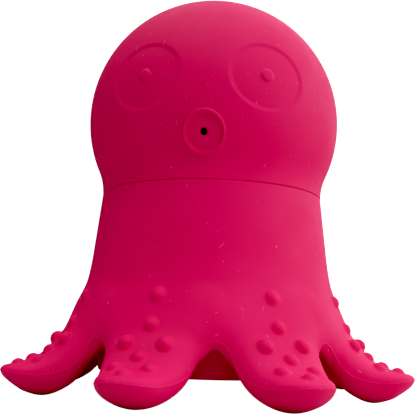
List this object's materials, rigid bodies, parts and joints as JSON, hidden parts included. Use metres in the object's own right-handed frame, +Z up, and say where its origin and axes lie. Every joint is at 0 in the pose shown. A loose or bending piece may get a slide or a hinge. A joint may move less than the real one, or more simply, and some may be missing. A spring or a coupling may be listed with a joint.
{
  "type": "octopus bath squirt toy",
  "caption": "Soft silicone octopus squirt toy: ball head with a ringed squirt mouth, plugged into a flared hollow body with flexing sucker arms.",
  "frame": {"origin": "on the ground, under the axis of the body, at the middle of the eight arms", "axes": "+Z up along the body's axis, -Y through the gap between the two front arms, +X to the right as seen from the front"},
  "size_m": [0.0936, 0.0936, 0.1001],
  "materials": {
    "silicone": "matte moulded silicone with a soft sheen"
  },
  "bodies": {
    "bell": {"bell": "silicone", "tentacle_1_root": "silicone", "tentacle_2_root": "silicone", "tentacle_3_root": "silicone", "tentacle_4_root": "silicone", "tentacle_5_root": "silicone", "tentacle_6_root": "silicone", "tentacle_7_root": "silicone", "tentacle_8_root": "silicone"},
    "neck_plug": {"neck_plug": "silicone"},
    "head_shell": {"head_shell": "silicone"},
    "tentacle_1": {"tentacle_1": "silicone"},
    "tentacle_2": {"tentacle_2": "silicone"},
    "tentacle_3": {"tentacle_3": "silicone"},
    "tentacle_4": {"tentacle_4": "silicone"},
    "tentacle_5": {"tentacle_5": "silicone"},
    "tentacle_6": {"tentacle_6": "silicone"},
    "tentacle_7": {"tentacle_7": "silicone"},
    "tentacle_8": {"tentacle_8": "silicone"}
  },
  "joints": [
    {"name": "head_lift", "type": "slide", "parent": "bell", "child": "neck_plug", "axis": [0, 0, 1], "range_m": [0, 0.03]},
    {"name": "head_turn", "type": "hinge", "parent": "neck_plug", "child": "head_shell", "pos_m": [0, 0, 0.04839], "axis": [0, 0, 1], "continuous": true},
    {"name": "tentacle_1_flex", "type": "hinge", "parent": "bell", "child": "tentacle_1", "pos_m": [0.01313, -0.03169, 0.0095], "axis": [-0.9239, -0.3827, 0], "range_deg": [-12, 30], "stiffness_Nm_per_rad": 0.4, "deforming": ["tentacle_1_root"]},
    {"name": "tentacle_2_flex", "type": "hinge", "parent": "bell", "child": "tentacle_2", "pos_m": [0.03169, -0.01313, 0.0095], "axis": [-0.3827, -0.9239, 0], "range_deg": [-12, 30], "stiffness_Nm_per_rad": 0.4, "deforming": ["tentacle_2_root"]},
    {"name": "tentacle_3_flex", "type": "hinge", "parent": "bell", "child": "tentacle_3", "pos_m": [0.03169, 0.01313, 0.0095], "axis": [0.3827, -0.9239, 0], "range_deg": [-12, 30], "stiffness_Nm_per_rad": 0.4, "deforming": ["tentacle_3_root"]},
    {"name": "tentacle_4_flex", "type": "hinge", "parent": "bell", "child": "tentacle_4", "pos_m": [0.01313, 0.03169, 0.0095], "axis": [0.9239, -0.3827, 0], "range_deg": [-12, 30], "stiffness_Nm_per_rad": 0.4, "deforming": ["tentacle_4_root"]},
    {"name": "tentacle_5_flex", "type": "hinge", "parent": "bell", "child": "tentacle_5", "pos_m": [-0.01313, 0.03169, 0.0095], "axis": [0.9239, 0.3827, 0], "range_deg": [-12, 30], "stiffness_Nm_per_rad": 0.4, "deforming": ["tentacle_5_root"]},
    {"name": "tentacle_6_flex", "type": "hinge", "parent": "bell", "child": "tentacle_6", "pos_m": [-0.03169, 0.01313, 0.0095], "axis": [0.3827, 0.9239, 0], "range_deg": [-12, 30], "stiffness_Nm_per_rad": 0.4, "deforming": ["tentacle_6_root"]},
    {"name": "tentacle_7_flex", "type": "hinge", "parent": "bell", "child": "tentacle_7", "pos_m": [-0.03169, -0.01313, 0.0095], "axis": [-0.3827, 0.9239, 0], "range_deg": [-12, 30], "stiffness_Nm_per_rad": 0.4, "deforming": ["tentacle_7_root"]},
    {"name": "tentacle_8_flex", "type": "hinge", "parent": "bell", "child": "tentacle_8", "pos_m": [-0.01313, -0.03169, 0.0095], "axis": [-0.9239, 0.3827, 0], "range_deg": [-12, 30], "stiffness_Nm_per_rad": 0.4, "deforming": ["tentacle_8_root"]}
  ]
}
